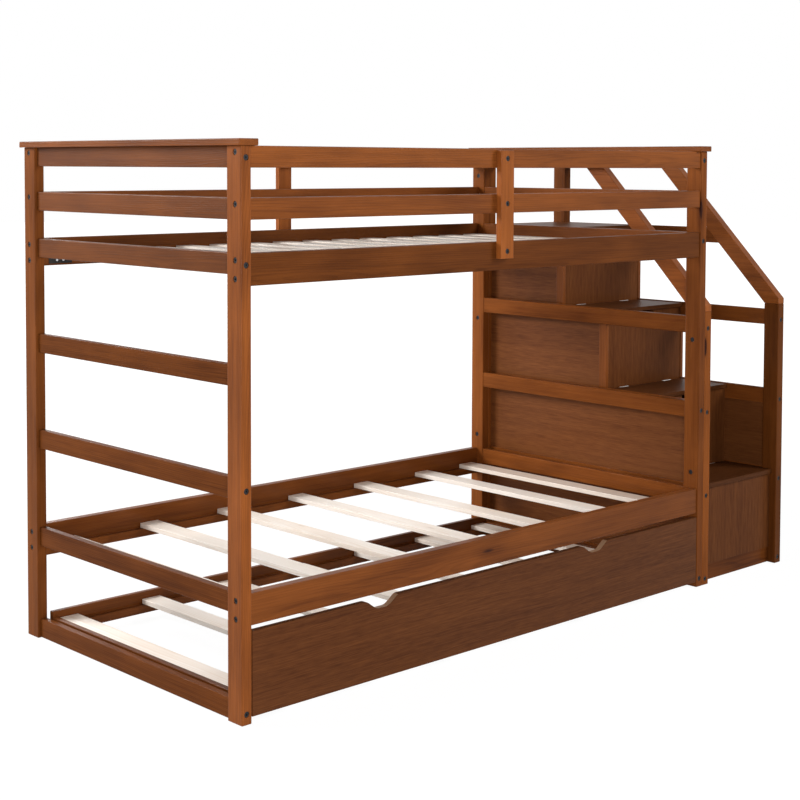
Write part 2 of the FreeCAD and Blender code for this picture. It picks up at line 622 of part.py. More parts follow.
# Wheels turn on axles that stand inwards from plates on the trundle's end rails.
WHEEL_Y = {"front": f"({FRAME_FRONT} + wheel_inset)", "back": f"({BACK_RAIL_Y} - wheel_inset)"}
WHEEL_ENDS = {
    # end: face of the end rail, heading inwards, sign of that heading
    "left": (f"({TRUNDLE_LEFT} + panel_thick)", "+X", "+"),
    "right": (f"({TRUNDLE_RIGHT} - panel_thick)", "-X", "-"),
}
AXLE_LONG = "(bracket_thick + wheel_wide + 2 * wheel_side_play + axle_head_thick)"
brackets = []
wheels = {side: [] for side in WHEEL_Y}
for side, y in WHEEL_Y.items():
    for end, (face, heading, sign) in WHEEL_ENDS.items():
        name = f"{side}_{end}"
        plate_x = face if sign == "+" else f"{face} - bracket_thick"
        plate = block(f"{name}_plate", plate_x, f"{y} - bracket_wide / 2", "trundle_end_bottom + bracket_up",
                      "bracket_thick", "bracket_wide", "bracket_high")
        axle = rod(f"{name}_axle", "axle_radius", AXLE_LONG, face, y, "wheel_radius", heading)
        head = rod(f"{name}_axle_head", "axle_head_radius", "axle_head_thick",
                   f"{face} {sign} ({AXLE_LONG} - axle_head_thick)", y, "wheel_radius", heading)
        brackets.append(joined(f"{name}_bracket", [plate, axle, head]))
        start = f"{face} {sign} (bracket_thick + wheel_side_play)"
        tyre = rod(f"{name}_disc", "wheel_radius", "wheel_wide", start, y, "wheel_radius", heading)
        bore = rod(f"{name}_bore", "axle_radius + axle_play", "wheel_wide", start, y, "wheel_radius", heading)
        disc = cut(f"{name}_wheel", tyre, bore)
        wheels[side].append(eased(f"{name}_wheel_eased", disc, "edge_round",
                                  lambda edge: abs(edge.Length - 2 * math.pi * VALUE["wheel_radius"]) < NEAR))
keep("trundle_wheel_brackets", group("trundle_wheel_brackets", brackets))
for side, pair in wheels.items():
    keep(f"trundle_{side}_wheels", group(f"trundle_{side}_wheels", pair))

# ---------------------------------------------------------------- stair posts, rails and handrails

for side, (post_x, rail_x, middle) in STAIR_SIDES.items():
    name = f"stair_front_{side}_post"
    keep(name, board(name, post_x, FRONT, "0", "stair_post_thick", "stair_post_wide", "stair_post_top"))
    name = f"stair_back_{side}_post"
    keep(name, board(name, post_x, f"{BACK} - stair_post_wide", "0", "stair_post_thick", "stair_post_wide",
                     "post_height"))

RAIL_LONG = "(bed_width - 2 * stair_post_wide)"
PLUMB = "(handrail_wide * sqrt(1 + handrail_slope ^ 2))"


def under_handrail(height):
    """Place of the handrail's lower edge at a height, behind the posts' front faces."""
    return f"(stair_post_wide + ({height} - stair_post_top) / handrail_slope)"


TOP_JOINT = under_handrail("(post_height - rail_height)")
HANDRAIL = [
    ("0", "stair_post_top"),
    ("stair_post_wide", "stair_post_top"),
    (TOP_JOINT, "post_height - rail_height"),
    (TOP_JOINT, "post_height"),
    (under_handrail(f"(post_height - {PLUMB})"), "post_height"),
    ("0", f"stair_post_top - handrail_slope * stair_post_wide + {PLUMB}"),
]
LEVEL_4 = level_top(4)
MITRED = [
    (under_handrail(f"({LEVEL_4} - stair_rail_height)"), f"{LEVEL_4} - stair_rail_height"),
    ("bed_width - stair_post_wide", f"{LEVEL_4} - stair_rail_height"),
    ("bed_width - stair_post_wide", LEVEL_4),
    (under_handrail(LEVEL_4), LEVEL_4),
]


def all_edges(edge):
    """Chooses every edge."""
    return True


top_rails = []
for side, (post_x, rail_x, middle) in STAIR_SIDES.items():
    rails = [board(f"{side}_stair_rail_{level}", rail_x, f"{FRONT} + stair_post_wide",
                   f"{level_top(level)} - stair_rail_height", "stair_side_thick", RAIL_LONG,
                   "stair_rail_height", "thin_round")
             for level in STAIR_LEVELS[:4]]
    name = f"{side}_stair_rail_4"
    mitred = outline_pad(f"{name}_body", "YZ_Plane", MITRED, "stair_side_thick")
    seat(mitred, rail_x, FRONT, "0")
    rounded_body(mitred, "thin_round", all_edges)
    rails.append(drilled(name, mitred))
    keep(f"stair_{side}_rails", group(f"stair_{side}_rails", rails))
    handrail = outline_pad(f"{side}_handrail_body", "YZ_Plane", HANDRAIL, "stair_post_thick")
    seat(handrail, post_x, FRONT, "0")
    rounded_body(handrail, "edge_round", all_edges)
    keep(f"{side}_handrail", handrail)
    top_rails.append(board(f"{side}_top_rail", post_x, f"{FRONT} + {TOP_JOINT}", "post_height - rail_height",
                           "stair_post_thick", f"bed_width - stair_post_wide - {TOP_JOINT}", "rail_height"))
keep("stair_top_rails", group("stair_top_rails", top_rails))

# ---------------------------------------------------------------- stair carcass


def tread_y(step):
    """Front edge of a tread, step 1 at the bottom and step 4 the platform."""
    return f"({FRONT} + tread_front + {step - 1} * going)"


def stile_y(step):
    """Front of the stiles beside a riser."""
    return f"({tread_y(step)} + nosing)"


def riser_y(step):
    """Front face of a riser."""
    return f"({stile_y(step)} + riser_recess)"


PANEL_X = {"inner": f"({BOX_LEFT} - stair_panel_thick)", "outer": BOX_RIGHT}
stiles = []
for side, (post_x, rail_x, middle) in STAIR_SIDES.items():
    panels = []
    for level in range(1, 5):
        start = f"({FRONT} + stair_post_wide)" if level < 3 else f"({stile_y(level)} + stile_wide)"
        bottom = level_top(level - 1)
        tall = "step_rise - stair_rail_height"
        panels.append(block(f"{side}_panel_{level}", PANEL_X[side], start, bottom, "stair_panel_thick",
                            f"{BACK} - stair_post_wide - {start}", tall))
        if level > 2:
            stiles.append(board(f"{side}_stile_{level}", rail_x, stile_y(level), bottom, "stair_side_thick",
                                "stile_wide", tall, "thin_round"))
    keep(f"stair_{side}_panels", group(f"stair_{side}_panels", panels))
keep("stair_stiles", group("stair_stiles", stiles))


def lid_top(step):
    """Top of a tread."""
    return f"({level_top(step)} - lid_drop)"


BOX_WIDE = "(stair_width - 2 * stair_recess - 2 * stair_side_thick)"
POST_GAP = "(stair_width - 2 * stair_post_thick)"
POST_STEP = f"(({BOX_WIDE} - {POST_GAP}) / 2)"


def riser(step):
    """A riser; the first stands on the floor rail, the others on the floor of the box before."""
    wide = POST_GAP if step == 1 else BOX_WIDE
    left = f"({RIGHT} + stair_post_thick)" if step == 1 else BOX_LEFT
    bottom = level_top(0) if step == 1 else level_top(step - 2)
    top = f"({LEVEL_4} - tread_thick)" if step == 4 else f"({lid_top(step)} - tread_thick)"
    tall = f"({top} - {bottom})"
    blank = block(f"riser_{step}_blank", left, riser_y(step), bottom, wide, "riser_thick", tall)
    if step in (1, 4):
        return blank
    notch = block(f"riser_{step}_notch", f"{STAIR_MIDDLE} - notch_wide / 2", f"{riser_y(step)} - cut_past",
                  f"{top} - notch_deep", "notch_wide", "riser_thick + 2 * cut_past", "notch_deep + cut_past")
    return cut(f"riser_{step}", blank, notch)


keep("stair_risers", group("stair_risers", [riser(step) for step in range(1, 5)]))

cross_rails = [board("stair_kick_rail", f"{RIGHT} + stair_post_thick", f"{riser_y(1)} + kick_recess",
                     f"{level_top(0)} - stair_rail_height", POST_GAP, "rail_thick", "stair_rail_height",
                     "thin_round")]
for level in STAIR_LEVELS:
    cross_rails.append(board(f"stair_back_rail_{level}", f"{RIGHT} + stair_post_thick",
                             f"{BACK} - stair_recess - rail_thick", f"{level_top(level)} - stair_rail_height",
                             POST_GAP, "rail_thick", "stair_rail_height", "thin_round"))
keep("stair_cross_rails", group("stair_cross_rails", cross_rails))
keep("stair_back_panel", block("stair_back_sheet", f"{RIGHT} + stair_post_thick",
                               f"{BACK} - stair_recess - rail_thick - back_panel_thick",
                               f"{level_top(0)} - stair_rail_height", POST_GAP, "back_panel_thick",
                               f"{LEVEL_4} - tread_thick - ({level_top(0)} - stair_rail_height)"))


def floor_board(step):
    """Floor of the storage box behind a riser, reaching under the next riser."""
    back = f"({riser_y(step + 1)} + riser_thick)"
    top = level_top(step - 1)
    if step > 1:
        start = f"({riser_y(step)} + riser_thick)"
        return block(f"box_floor_{step}", BOX_LEFT, start, f"{top} - floor_thick", BOX_WIDE,
                     f"{back} - {start}", "floor_thick")
    start = f"({riser_y(1)} + kick_recess + rail_thick)"
    corners = shouldered(f"({FRONT} + stair_post_wide - {start})", f"({back} - {start})", "0")
    floor = outline_pad("box_floor_1", "XY_Plane", corners, "floor_thick")
    seat(floor, BOX_LEFT, start, f"{top} - floor_thick")
    return floor


def shouldered(shoulder, depth, play):
    """Outline of a board that is narrow between the posts and wide behind them."""
    return [(f"{POST_STEP} + {play}", "0"), (f"{BOX_WIDE} - {POST_STEP} - {play}", "0"),
            (f"{BOX_WIDE} - {POST_STEP} - {play}", f"{shoulder} + {play}"),
            (f"{BOX_WIDE} - {play}", f"{shoulder} + {play}"), (f"{BOX_WIDE} - {play}", depth),
            (f"{play}", depth), (f"{play}", f"{shoulder} + {play}"),
            (f"{POST_STEP} + {play}", f"{shoulder} + {play}")]


keep("stair_box_floors", group("stair_box_floors", [floor_board(step) for step in (1, 2, 3)]))

# ---------------------------------------------------------------- treads, platform and lid hinges


def hinge_y(step):
    """Axis of a lid's hinges, in front of the next riser."""
    return f"({riser_y(step + 1)} - {HINGE_REACH})"


def hinge_z(step):
    """Height of the axis of a lid's hinges."""
    return f"({lid_top(step)} + knuckle_proud - knuckle_radius)"


def lid(step):
    """A tread that opens, from its front edge to the front of its hinges."""
    depth = f"({hinge_y(step)} - {HINGE_REACH} - {tread_y(step)})"
    if step == 1:
        corners = shouldered(f"({FRONT} + stair_post_wide - {tread_y(1)})", depth, "lid_play")
    else:
        corners = [("lid_play", "0"), (f"{BOX_WIDE} - lid_play", "0"), (f"{BOX_WIDE} - lid_play", depth),
                   ("lid_play", depth)]
    body = outline_pad(f"tread_{step}", "XY_Plane", corners, "tread_thick")
    seat(body, BOX_LEFT, tread_y(step), f"{lid_top(step)} - tread_thick")
    return rounded_body(body, "thin_round", lambda edge: not straight_along(edge, FreeCAD.Vector(0, 0, 1)))


PLATFORM_DEPTH = f"({BACK} - {tread_y(4)} - stair_recess - rail_thick)"
PLATFORM_SHOULDER = f"({BACK} - stair_post_wide - {tread_y(4)})"
platform_corners = [("0", "0"), (BOX_WIDE, "0"), (BOX_WIDE, PLATFORM_SHOULDER),
                    (f"{BOX_WIDE} - {POST_STEP}", PLATFORM_SHOULDER),
                    (f"{BOX_WIDE} - {POST_STEP}", PLATFORM_DEPTH), (POST_STEP, PLATFORM_DEPTH),
                    (POST_STEP, PLATFORM_SHOULDER), ("0", PLATFORM_SHOULDER)]
platform = outline_pad("platform_board", "XY_Plane", platform_corners, "tread_thick")
seat(platform, BOX_LEFT, tread_y(4), f"{LEVEL_4} - tread_thick")
keep("stair_platform", platform)

SIDE_KNUCKLE = "((hinge_long - knuckle_long) / 2 - knuckle_play)"
LEAF_GAP = "(knuckle_radius + 2 * knuckle_play)"


def hinge(step, place, middle):
    """The fixed leaf, the lid's leaf and the pin of one hinge."""
    name = f"step_{step}_hinge_{place}"
    y, z = hinge_y(step), hinge_z(step)
    start = f"({middle} - hinge_long / 2)"
    sides = [start, f"({middle} + hinge_long / 2 - {SIDE_KNUCKLE})"]
    centre = f"({middle} - knuckle_long / 2)"

    def leaf(tag, plate_y, straps, knuckle_bore):
        plate = block(f"{name}_{tag}_plate", start, plate_y, f"{z} - leaf_high", "hinge_long", "leaf_thick",
                      f"leaf_high - {LEAF_GAP}")
        pieces = [plate]
        strap_bottom = f"{z} - {LEAF_GAP} - cut_past"
        for index, (x, long) in enumerate(straps):
            pieces.append(block(f"{name}_{tag}_strap_{index}", x, plate_y, strap_bottom, long,
                                "leaf_thick", f"{LEAF_GAP} + cut_past"))
            pieces.append(rod(f"{name}_{tag}_knuckle_{index}", "knuckle_radius", long, x, y, z, "+X"))
        bore = rod(f"{name}_{tag}_bore", knuckle_bore, "hinge_long", start, y, z, "+X")
        return cut(f"{name}_{tag}", joined(f"{name}_{tag}_blank", pieces), bore)

    fixed = leaf("fixed", f"{y} + {HINGE_REACH} - leaf_thick", [(x, SIDE_KNUCKLE) for x in sides],
                 "pin_radius + pin_play / 2")
    moving = leaf("moving", f"{y} - {HINGE_REACH}", [(centre, "knuckle_long")], "pin_radius + pin_play")
    pin = rod(f"{name}_pin", "pin_radius", "hinge_long", start, y, z, "+X")
    return fixed, moving, pin


fixed_leaves, pins = [], []
for step in (1, 2, 3):
    keep(f"step_{step}_lid", lid(step))
    moving_leaves = []
    for index, sign in enumerate("-+"):
        fixed, moving, pin = hinge(step, index + 1, f"({STAIR_MIDDLE} {sign} hinge_spacing / 2)")
        fixed_leaves.append(fixed)
        moving_leaves.append(moving)
        pins.append(pin)
    keep(f"step_{step}_hinge_leaves", group(f"step_{step}_hinge_leaves", moving_leaves))
keep("step_hinge_fixed_leaves", group("step_hinge_fixed_leaves", fixed_leaves))
keep("step_hinge_pins", group("step_hinge_pins", pins))

keep("frame_bolts", group("frame_bolts", fasteners["bolt"]))
keep("frame_dowels", group("frame_dowels", fasteners["dowel"]))

# ---------------------------------------------------------------- checks and files

doc.recompute()
for thing in doc.Objects:
    if any(state in thing.State for state in ("Invalid", "Error")):
        raise RuntimeError(f"{thing.Name} failed: {thing.State}")
for thing in finished:
    if thing.Shape.isNull() or not thing.Shape.isValid():
        raise RuntimeError(f"{thing.Label} has a bad shape")

os.makedirs("parts", exist_ok=True)
for thing in finished:
    thing.Shape.exportStep(f"parts/{thing.Label}.step")
print(f"{len(finished)} pieces, {sum(len(thing.Shape.Solids) for thing in finished)} solids")
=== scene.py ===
"""Finishes, small hardware and studio for a brown-stained bunk bed with storage stairs."""
import math

import bmesh
import bpy
from bpy.props import FloatProperty, FloatVectorProperty, PointerProperty
from mathutils import Matrix, Vector


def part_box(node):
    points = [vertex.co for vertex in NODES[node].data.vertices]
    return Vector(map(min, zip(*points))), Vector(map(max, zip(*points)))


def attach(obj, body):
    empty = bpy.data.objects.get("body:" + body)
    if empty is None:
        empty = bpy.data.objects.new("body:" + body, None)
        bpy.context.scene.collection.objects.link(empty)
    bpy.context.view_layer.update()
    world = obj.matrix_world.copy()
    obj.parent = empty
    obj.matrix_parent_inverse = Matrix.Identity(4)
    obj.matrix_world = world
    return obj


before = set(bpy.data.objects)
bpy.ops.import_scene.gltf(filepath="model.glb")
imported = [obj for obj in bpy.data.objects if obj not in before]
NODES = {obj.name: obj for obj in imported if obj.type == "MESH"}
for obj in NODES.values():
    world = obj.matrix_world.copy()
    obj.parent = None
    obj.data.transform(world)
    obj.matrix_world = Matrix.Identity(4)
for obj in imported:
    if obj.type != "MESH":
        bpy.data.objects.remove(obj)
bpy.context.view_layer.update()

bl_info = {
    "name": "Bunk Bed With Storage Stairs",
    "version": (1, 0, 0),
    "blender": (4, 5, 0),
    "location": "View3D > Sidebar > Bunk Bed",
    "description": "Dresses the bed's frame in stained pine, veneer, bare slats and hardware",
    "category": "Object",
}


# ---------------------------------------------------------------- values a user may change

def tint(name, description, default):
    """A colour."""
    return FloatVectorProperty(name=name, description=description, subtype="COLOR", size=3,
                               min=0.0, max=1.0, default=default)


def size(name, description, default):
    """A length in metres."""
    return FloatProperty(name=name, description=description, subtype="DISTANCE", unit="LENGTH",
                         min=0.0, default=default, precision=4)


def power(name, description, default):
    """The power of a lamp in watts."""
    return FloatProperty(name=name, description=description, unit="POWER", min=0.0, default=default)


def share(name, description, default):
    """A number from 0 to 1."""
    return FloatProperty(name=name, description=description, subtype="FACTOR", min=0.0, max=1.0,
                         default=default)


class WoodFinish(bpy.types.PropertyGroup):
    """Colours, growth lines and gloss of the woods"""
    stain_light: tint("Stain, early wood", "Stained pine between its growth lines", (0.235, 0.068, 0.0135))
    stain_dark: tint("Stain, late wood", "Stained pine in its growth lines", (0.072, 0.018, 0.0036))
    stain_knot: tint("Stain, knots", "Stained pine at a knot", (0.030, 0.008, 0.004))
    veneer_light: tint("Veneer, light", "Panels between their pores", (0.150, 0.050, 0.0145))
    veneer_dark: tint("Veneer, dark", "Panels in their pores", (0.050, 0.014, 0.0045))
    slat_light: tint("Slats, light", "Bare pine between its growth lines", (0.970, 0.905, 0.830))
    slat_dark: tint("Slats, dark", "Bare pine in its growth lines", (0.850, 0.720, 0.600))
    slat_knot: tint("Slats, knots", "Bare pine at a knot", (0.300, 0.170, 0.090))
    sawn: tint("Sawn edges", "Cut faces of the panels' finger cut-outs", (0.330, 0.190, 0.110))
    ring: size("Growth lines", "Distance from one growth line to the next", 0.0048)
    coat: share("Coat", "Weight of the clear top coat", 0.07)
    lacquer: share("Lacquer", "Strength of the lacquer's reflections on stained wood", 0.06)


class HardwareFinish(bpy.types.PropertyGroup):
    """Colours of the metal and plastic parts"""
    bolt: tint("Bolts", "Black oxide", (0.024, 0.024, 0.026))
    # The cleat plates' near-black colour is partly a bracket's dark lacquer and partly painted shade at the
    # corners under the upper end rails.
    plate: tint("Cleat plates", "Dark lacquer", (0.014, 0.012, 0.011))
    hinge: tint("Hinges", "Nickel plate", (0.620, 0.610, 0.590))
    bracket: tint("Wheel plates", "Zinc plate", (0.560, 0.570, 0.590))
    wheel: tint("Wheels", "Moulded plastic", (0.030, 0.030, 0.032))
    screw_radius: size("Screw heads", "Radius of the screws in the cleat plates", 0.0040)


class Studio(bpy.types.PropertyGroup):
    """Lens, lights and floor"""
    floor: tint("Floor", "Pale floor and backdrop", (0.55, 0.55, 0.55))
    front_left: power("Front left light", "Soft light before the ladder end, low", 126.0)
    front_right: power("Front right light", "Soft light before the stairs, high", 161.0)
    back_left: power("Back left light", "Soft light behind the ladder end, high", 292.0)
    back: power("Back light", "Soft light behind the bed, low", 122.0)
    ambient: FloatProperty(name="Ambient", description="Strength of the light from all round",
                           min=0.0, default=0.02)
    lens: FloatProperty(name="Lens", description="Focal length on a 36 mm sensor", unit="CAMERA",
                        min=1.0, default=69.78)


# ---------------------------------------------------------------- shader arithmetic

BACKDROP_RAYS = ("Is Camera Ray", "Is Glossy Ray", "Is Transmission Ray")


class Wire:
    """A shader socket that takes part in Python sums; each operator adds its Math node."""

    def __init__(self, paint, socket):
        self.paint = paint
        self.socket = socket

    def __add__(self, other):
        return self.paint.sum("ADD", self, other)

    def __sub__(self, other):
        return self.paint.sum("SUBTRACT", self, other)

    def __mul__(self, other):
        return self.paint.sum("MULTIPLY", self, other)

    def __truediv__(self, other):
        return self.paint.sum("DIVIDE", self, other)

    def __rsub__(self, other):
        return self.paint.sum("SUBTRACT", other, self)

    def __rtruediv__(self, other):
        return self.paint.sum("DIVIDE", other, self)

    __radd__ = __add__
    __rmul__ = __mul__


class Paint:
    """The nodes of a material or world, which all come from one generic method."""

    def __init__(self, owner):
        owner.use_nodes = True
        self.owner = owner
        self.tree = owner.node_tree
        self.tree.nodes.clear()

    def node(self, kind, settings=None, links=None, output=0):
        """Adds a node: its settings first, then the values or links of its sockets."""
        item = self.tree.nodes.new(kind)
        for name, value in (settings or {}).items():
            setattr(item, name, value)
        for name, value in (links or {}).items():
            socket = item.inputs[name]
            if isinstance(value, Wire):
                self.tree.links.new(value.socket, socket)
                continue
            socket.default_value = value
        return Wire(self, item.outputs[output]) if item.outputs else None

    def sum(self, operation, *values):
        """A Math node on numbers and wires."""
        return self.node("ShaderNodeMath", {"operation": operation}, dict(enumerate(values)))

    def step(self, value, low, high):
        """Rises smoothly from 0 to 1 between low and high."""
        return self.node("ShaderNodeMapRange", {"interpolation_type": "SMOOTHSTEP"},
                         {"Value": value, "From Min": low, "From Max": high})

    def vector(self, x, y, z):
        """Three wires or numbers as one vector."""
        return self.node("ShaderNodeCombineXYZ", None, {"X": x, "Y": y, "Z": z})

    def parts(self, vector):
        """The three numbers of a vector."""
        split = self.node("ShaderNodeSeparateXYZ", None, {"Vector": vector})
        outputs = split.socket.node.outputs
        return [Wire(self, outputs[index]) for index in range(3)]

    def noise(self, x, y, z, detail=2.0):
        """Soft noise from 0 to 1 at coordinates that already hold its scale."""
        return self.node("ShaderNodeTexNoise", None,
                         {"Vector": self.vector(x, y, z), "Scale": 1.0, "Detail": detail})

    def blend(self, factor, first, second):
        """Mixes two colours, each a wire or three numbers."""
        factor_input, first_input, second_input, colour_output = 0, 6, 7, 2
        return self.node("ShaderNodeMix", {"data_type": "RGBA"},
                         {factor_input: factor, first_input: self.opaque(first),
                          second_input: self.opaque(second)}, output=colour_output)

    def opaque(self, colour):
        """A wire as it is, or three numbers with their alpha."""
        return colour if isinstance(colour, Wire) else (*colour, 1.0)

    def backdrop_rays(self):
        """1 for rays that meet a white backdrop: the camera's, and those that mirror or refract it."""
        rays = self.node("ShaderNodeLightPath").socket.node.outputs
        seen, *others = [Wire(self, rays[name]) for name in BACKDROP_RAYS]
        for ray in others:
            seen = self.sum("MAXIMUM", seen, ray)
        return seen

    def finish(self, colour, roughness, height, lift, **constants):
        """Joins colour, roughness and relief in the surface shader."""
        bump = self.node("ShaderNodeBump", None, {"Height": height, "Distance": lift, "Strength": 1.0})
        sockets = {"Base Color": colour, "Roughness": roughness, "Normal": bump}
        sockets.update(constants)
        shader = self.node("ShaderNodeBsdfPrincipled", None, sockets)
        self.node("ShaderNodeOutputMaterial", None, {"Surface": shader})
        return self.owner


# ---------------------------------------------------------------- wood

# For each direction of the grain: the axes along it, across it and through the board.
AXES = {"X": (0, 1, 2), "Y": (1, 0, 2), "Z": (2, 0, 1)}

# Rows of boards that share a node: axis, first edge and pitch.
GUARD_PAIR = (2, 1.26, 0.13)
LADDER_PAIR = (2, 0.46, 0.29)
LOWER_PAIR = (2, -0.10, 0.28)
STAY_PAIR = (0, 0.0, 5.0)
BUNK_LEVELS = (2, -0.2, 0.9)
UPPER_SLATS = (0, -1.120, 0.1324)
LOWER_SLATS = (0, -1.255, 0.304)
TRUNDLE_SLATS = (0, -1.280, 0.299)
TRUNDLE_ENDS = (0, -1.3, 1.3)
TRUNDLE_SIDES = (1, -1.0, 1.0)
STAIR_LEVELS = (2, -0.11, 0.287)
STAIR_SIDES = (0, 0.5, 0.49)
STILE_LEVELS = (2, 0.60, 0.287)
RISER_ROW = (1, -0.512, 0.206)

# Finger cut-outs of the trundle's front: middles, half width, lowest and highest edge.
FINGER_CUTS = ((-0.730, 0.183), 0.060, 0.2145, 0.2405)

# Steps from one node's seed to the next, and how far a board's chance moves its noise.
STAINED_SEEDS = 1.7
VENEER_SEEDS = 1.3
BARE_SEEDS = 1.1
BOARD_SHIFT = 9.0

# Growth rings of pine in metres: how deep their middle lies, its spread from board to board in
# depth and sideways, its lean along a board, and how far the rings sway.
HEART_DEPTH = 0.018
HEART_SPREAD = 0.05
HEART_ASIDE = 0.07
HEART_LEAN = 0.09
RING_SWAY = 0.045
# Shares of a ring: where late wood starts and is full, and where it starts to end and has ended.
LATE_START = (0.45, 0.9)
LATE_END = (0.92, 1.0)

# Noises in pine: turns per metre along the grain and across it, and detail.
SWAY = (1.6, 7.0, 2.0)
FIBRE = (9.0, 420.0, 3.0)
STREAK = (1.8, 75.0, 2.0)
BLOTCH = (4.0, 9.0, 3.0)
CLOUD = (2.2, 12.0, 2.0)
# Knots: turns along and across, a board's shift, and the distances where eye and halo fade.
KNOT_TURNS = (2.1, 9.0)
KNOT_SHIFT = 3.0
KNOT_EYE = (0.045, 0.085)
KNOT_HALO = (0.07, 0.22)
# Tone of pine from 0, light, to 1, dark: without marks, and how far each mark moves it.
PINE_TONE = 0.34
FIBRE_TONE = 0.7
STREAK_TONE = 0.6
BLOTCH_TONE = 0.8
CLOUD_TONE = 0.9
BOARD_TONE = 0.3
HALO_TONE = 0.25

# Noises in veneer: turns per metre along the grain and across it, turns from board to board, and
# detail. Their sway is in metres.
VENEER_SWAY = (1.1, 5.0, 4.0, 2.0)
PORES = (14.0, 620.0, 5.0, 3.0)
BANDS = (0.7, 62.0, 5.0, 3.0)
WIDE_BANDS = (0.9, 14.0, 5.0, 2.0)
RIBBON = (26.0, 110.0, 3.0, 2.0)
LINE_SWAY = 0.03
# Tone of veneer, as for pine.
VENEER_TONE = 0.42
PORES_TONE = 1.3
BANDS_TONE = 0.5
WIDE_BANDS_TONE = 0.45
RIBBON_TONE = 0.4
SHEET_TONE = 0.2

# Roughness at its lowest and what pores or fibres add, relief in metres, shares of fibre and late
# wood in pine's relief, and how far the coats spread a reflection.
PINE_ROUGHNESS = (0.30, 0.14)
VENEER_ROUGHNESS = (0.32, 0.16)
PINE_RELIEF = 0.00025
FIBRE_RELIEF, LATE_RELIEF = 0.6, 0.4
VENEER_RELIEF = 0.0002
PINE_COAT_ROUGHNESS = 0.14
VENEER_COAT_ROUGHNESS = 0.2
# Veneer wears a thinner coat than pine.
VENEER_COAT = 0.5

# Sawn faces: how softly they end along and across the cut-out, and which way a face may look.
CUT_EDGE = 0.001
CUT_TOP = (0.0006, 0.0002)
CUT_TURN = (0.4, 0.6)


def board_coordinates(paint, node, along, split, seed):
    """Places measured from each board's middle along and across its grain, and its chances.

    split is the axis, first edge and pitch of a row of boards that share one node.
    """
    low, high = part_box(node)
    place = paint.node("ShaderNodeTexCoord", output="Object")
    absolute = paint.parts(place)
    local = [absolute[axis] - (low[axis] + high[axis]) / 2 for axis in range(3)]
    rank = seed
    if split:
        axis, first, pitch = split
        turns = (absolute[axis] - first) / pitch
        rank = paint.sum("FLOOR", turns) + seed
        local[axis] = (paint.sum("FRACT", turns) - 0.5) * pitch
    chance = paint.node("ShaderNodeTexWhiteNoise", {"noise_dimensions": "1D"}, {"W": rank}, output="Color")
    order = AXES[along]
    return [local[axis] for axis in order], paint.parts(chance)


def toned(paint, base, marks):
    """A tone from 0 to 1: the base, moved by each mark from 0 to 1 by its width."""
    for mark, width in marks:
        base = base + (mark - 0.5) * width
    return paint.sum("MINIMUM", paint.sum("MAXIMUM", base, 0.0), 1.0)


def coloured(paint, tone, light, dark, shade):
    """The colour of a tone between light and dark, both scaled by shade."""
    return paint.blend(tone, [value * shade for value in light], [value * shade for value in dark])


def pine(name, node, along, split, seed, light, dark, knot, ring, shade=1.0, knots=1.0, rings=0.16,
         **constants):
    """Flat-sawn pine: growth lines that arch along the board, fibres, stain blotches and knots.

    shade scales both tones: mostly a board's own tone, but on the stairs' front outer post it paints shade;
    knots and rings set how plainly those show.
    """
    paint = Paint(bpy.data.materials.new(name))
    (run, across, deep), (one, two, three) = board_coordinates(paint, node, along, split, seed)
    far = one * BOARD_SHIFT + seed

    def grain(turns_along, turns_over, detail, shift=None):
        """Noise that is stretched along the grain."""
        over = across * turns_over
        if shift:
            over = over + shift
        return paint.noise(run * turns_along + far, over, deep * turns_over, detail)

    side = across - (one - 0.5) * HEART_ASIDE + (grain(*SWAY) - 0.5) * RING_SWAY
    heart = deep + HEART_DEPTH + three * HEART_SPREAD + run * (two - 0.5) * HEART_LEAN
    radius = paint.sum("SQRT", side * side + heart * heart)
    phase = paint.sum("FRACT", radius / ring)
    late = paint.step(phase, *LATE_START) * (1.0 - paint.step(phase, *LATE_END))
    fibre = grain(*FIBRE)
    knots_along, knots_over = KNOT_TURNS
    spots = paint.vector(run * knots_along + far, across * knots_over + two * KNOT_SHIFT, deep * knots_over)
    cell = paint.node("ShaderNodeTexVoronoi", None, {"Vector": spots, "Scale": 1.0, "Randomness": 1.0},
                      output="Distance")
    eye = (1.0 - paint.step(cell, *KNOT_EYE)) * knots
    halo = (1.0 - paint.step(cell, *KNOT_HALO)) * knots
    marks = [(fibre, FIBRE_TONE), (grain(*STREAK), STREAK_TONE), (grain(*BLOTCH), BLOTCH_TONE),
             (grain(*CLOUD, shift=two), CLOUD_TONE), (three, BOARD_TONE)]
    tone = toned(paint, late * rings + halo * HALO_TONE + PINE_TONE, marks)
    colour = paint.blend(eye, coloured(paint, tone, light, dark, shade), knot)
    smooth, rougher = PINE_ROUGHNESS
    height = fibre * FIBRE_RELIEF + late * LATE_RELIEF
    return paint.finish(colour, fibre * rougher + smooth, height, PINE_RELIEF, **constants)


def sawn_edge(paint, absolute, cuts):
    """1 on the sawn faces of cut-outs: their middles, half width, and lowest and highest edge."""
    middles, half, low, high = cuts
    below, above = CUT_TOP
    normal = paint.parts(paint.node("ShaderNodeTexCoord", output="Normal"))
    x, _, z = absolute
    away = paint.sum("MINIMUM", *[paint.sum("ABSOLUTE", x - middle) for middle in middles])
    level = paint.step(z, low - CUT_EDGE, low) * (1.0 - paint.step(z, high - below, high - above))
    across = 1.0 - paint.step(paint.sum("ABSOLUTE", normal[1]), *CUT_TURN)
    return (1.0 - paint.step(away, half, half + CUT_EDGE)) * level * across


